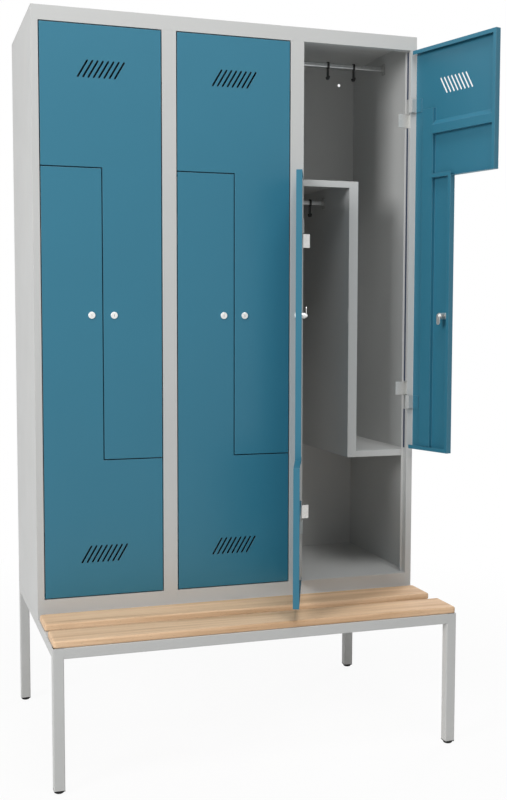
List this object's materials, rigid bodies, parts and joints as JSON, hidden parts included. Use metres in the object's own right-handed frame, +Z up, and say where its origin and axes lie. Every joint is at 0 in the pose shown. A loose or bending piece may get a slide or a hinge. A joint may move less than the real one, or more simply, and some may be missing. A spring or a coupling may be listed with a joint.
{
  "type": "locker with bench",
  "caption": "Steel locker cabinet with interlocking L-shaped doors, on a tube frame that reaches forward as a slatted wooden bench.",
  "frame": {"origin": "on the floor at the centre of the frame's footprint", "axes": "+Z up, +X to the right seen from the front, the front with the bench faces -Y"},
  "size_m": [1.2977, 0.8461, 2.16],
  "materials": {
    "carcass_paint": "light grey powder coat",
    "frame_paint": "light grey powder coat",
    "door_paint": "petrol blue powder coat",
    "zinc": "zinc plated",
    "rail_steel": "galvanised",
    "bracket_plastic": "grey moulded",
    "hook_plastic": "black moulded",
    "foot_plastic": "black moulded",
    "beech": "clear lacquered beech",
    "lock_chrome": "nickel plated"
  },
  "bodies": {
    "cabinet": {"roof": "carcass_paint", "side_left": "carcass_paint", "side_right": "carcass_paint", "side_posts": "carcass_paint", "partition_1": "carcass_paint", "partition_2": "carcass_paint", "back_panel": "carcass_paint", "floor_1": "carcass_paint", "floor_2": "carcass_paint", "floor_3": "carcass_paint", "z_partition_1": "carcass_paint", "z_partition_2": "carcass_paint", "z_partition_3": "carcass_paint", "front_rail": "frame_paint", "rear_rail": "frame_paint", "middle_rail": "frame_paint", "side_rail_left": "frame_paint", "side_rail_right": "frame_paint", "bench_bearer": "frame_paint", "leg_front_left": "frame_paint", "leg_front_right": "frame_paint", "leg_rear_left": "frame_paint", "leg_rear_right": "frame_paint", "hinge_brackets": "zinc", "hinge_pins": "zinc", "slat_screws": "zinc", "cabinet_bolts": "zinc", "upper_coat_rails": "rail_steel", "lower_coat_rails": "rail_steel", "rail_brackets": "bracket_plastic", "leg_feet": "foot_plastic", "slat_front": "beech", "slat_rear": "beech"},
    "upper_door_1": {"upper_door_1": "door_paint", "upper_lock_1": "lock_chrome"},
    "upper_lock_cam_1": {"upper_lock_cam_1": "lock_chrome"},
    "lower_door_1": {"lower_door_1": "door_paint", "lower_lock_1": "lock_chrome"},
    "lower_lock_cam_1": {"lower_lock_cam_1": "lock_chrome"},
    "upper_hook_a_1": {"upper_hook_a_1": "hook_plastic"},
    "upper_hook_b_1": {"upper_hook_b_1": "hook_plastic"},
    "lower_hook_1": {"lower_hook_1": "hook_plastic"},
    "upper_door_2": {"upper_door_2": "door_paint", "upper_lock_2": "lock_chrome"},
    "upper_lock_cam_2": {"upper_lock_cam_2": "lock_chrome"},
    "lower_door_2": {"lower_door_2": "door_paint", "lower_lock_2": "lock_chrome"},
    "lower_lock_cam_2": {"lower_lock_cam_2": "lock_chrome"},
    "upper_hook_a_2": {"upper_hook_a_2": "hook_plastic"},
    "upper_hook_b_2": {"upper_hook_b_2": "hook_plastic"},
    "lower_hook_2": {"lower_hook_2": "hook_plastic"},
    "upper_door_3": {"upper_door_3": "door_paint", "upper_lock_3": "lock_chrome"},
    "upper_lock_cam_3": {"upper_lock_cam_3": "lock_chrome"},
    "lower_door_3": {"lower_door_3": "door_paint", "lower_lock_3": "lock_chrome"},
    "lower_lock_cam_3": {"lower_lock_cam_3": "lock_chrome"},
    "upper_hook_a_3": {"upper_hook_a_3": "hook_plastic"},
    "upper_hook_b_3": {"upper_hook_b_3": "hook_plastic"},
    "lower_hook_3": {"lower_hook_3": "hook_plastic"}
  },
  "joints": [
    {"name": "upper_door_1_hinge", "type": "hinge", "parent": "cabinet", "child": "upper_door_1", "pos_m": [-0.2125, -0.088, 1.287], "axis": [0, 0, 1], "range_deg": [0, 111.6]},
    {"name": "upper_lock_cam_1_turn", "type": "hinge", "parent": "upper_door_1", "child": "upper_lock_cam_1", "pos_m": [-0.368, -0.095, 1.287], "axis": [0, 1, 0], "range_deg": [0, 90]},
    {"name": "lower_door_1_hinge", "type": "hinge", "parent": "cabinet", "child": "lower_door_1", "pos_m": [-0.5895, -0.088, 1.287], "axis": [0, 0, 1], "range_deg": [-111.6, 0]},
    {"name": "lower_lock_cam_1_turn", "type": "hinge", "parent": "lower_door_1", "child": "lower_lock_cam_1", "pos_m": [-0.434, -0.095, 1.287], "axis": [0, 1, 0], "range_deg": [0, 90]},
    {"name": "upper_hook_a_1_slide", "type": "slide", "parent": "cabinet", "child": "upper_hook_a_1", "axis": [1, 0, 0], "range_m": [-0.16, 0.04]},
    {"name": "upper_hook_b_1_slide", "type": "slide", "parent": "cabinet", "child": "upper_hook_b_1", "axis": [1, 0, 0], "range_m": [-0.04, 0.09]},
    {"name": "lower_hook_1_slide", "type": "slide", "parent": "cabinet", "child": "lower_hook_1", "axis": [1, 0, 0], "range_m": [-0.1, 0.03]},
    {"name": "upper_door_2_hinge", "type": "hinge", "parent": "cabinet", "child": "upper_door_2", "pos_m": [0.1885, -0.088, 1.287], "axis": [0, 0, 1], "range_deg": [0, 65]},
    {"name": "upper_lock_cam_2_turn", "type": "hinge", "parent": "upper_door_2", "child": "upper_lock_cam_2", "pos_m": [0.033, -0.095, 1.287], "axis": [0, 1, 0], "range_deg": [0, 90]},
    {"name": "lower_door_2_hinge", "type": "hinge", "parent": "cabinet", "child": "lower_door_2", "pos_m": [-0.1885, -0.088, 1.287], "axis": [0, 0, 1], "range_deg": [-111.6, 0]},
    {"name": "lower_lock_cam_2_turn", "type": "hinge", "parent": "lower_door_2", "child": "lower_lock_cam_2", "pos_m": [-0.033, -0.095, 1.287], "axis": [0, 1, 0], "range_deg": [0, 90]},
    {"name": "upper_hook_a_2_slide", "type": "slide", "parent": "cabinet", "child": "upper_hook_a_2", "axis": [1, 0, 0], "range_m": [-0.16, 0.04]},
    {"name": "upper_hook_b_2_slide", "type": "slide", "parent": "cabinet", "child": "upper_hook_b_2", "axis": [1, 0, 0], "range_m": [-0.04, 0.09]},
    {"name": "lower_hook_2_slide", "type": "slide", "parent": "cabinet", "child": "lower_hook_2", "axis": [1, 0, 0], "range_m": [-0.1, 0.03]},
    {"name": "upper_door_3_hinge", "type": "hinge", "parent": "cabinet", "child": "upper_door_3", "pos_m": [0.5895, -0.088, 1.287], "axis": [0, 0, 1], "range_deg": [-106.2, 5.4]},
    {"name": "upper_lock_cam_3_turn", "type": "hinge", "parent": "upper_door_3", "child": "upper_lock_cam_3", "pos_m": [0.6396, -0.23537, 1.287], "axis": [-0.9603, -0.279, 0], "range_deg": [0, 90]},
    {"name": "lower_door_3_hinge", "type": "hinge", "parent": "cabinet", "child": "lower_door_3", "pos_m": [0.2125, -0.088, 1.287], "axis": [0, 0, 1], "range_deg": [0, 111.6]},
    {"name": "lower_lock_cam_3_turn", "type": "hinge", "parent": "lower_door_3", "child": "lower_lock_cam_3", "pos_m": [0.14875, -0.23, 1.287], "axis": [0.9298, -0.3681, 0], "range_deg": [0, 90]},
    {"name": "upper_hook_a_3_slide", "type": "slide", "parent": "cabinet", "child": "upper_hook_a_3", "axis": [1, 0, 0], "range_m": [-0.16, 0.04]},
    {"name": "upper_hook_b_3_slide", "type": "slide", "parent": "cabinet", "child": "upper_hook_b_3", "axis": [1, 0, 0], "range_m": [-0.04, 0.09]},
    {"name": "lower_hook_3_slide", "type": "slide", "parent": "cabinet", "child": "lower_hook_3", "axis": [1, 0, 0], "range_m": [-0.1, 0.03]}
  ]
}
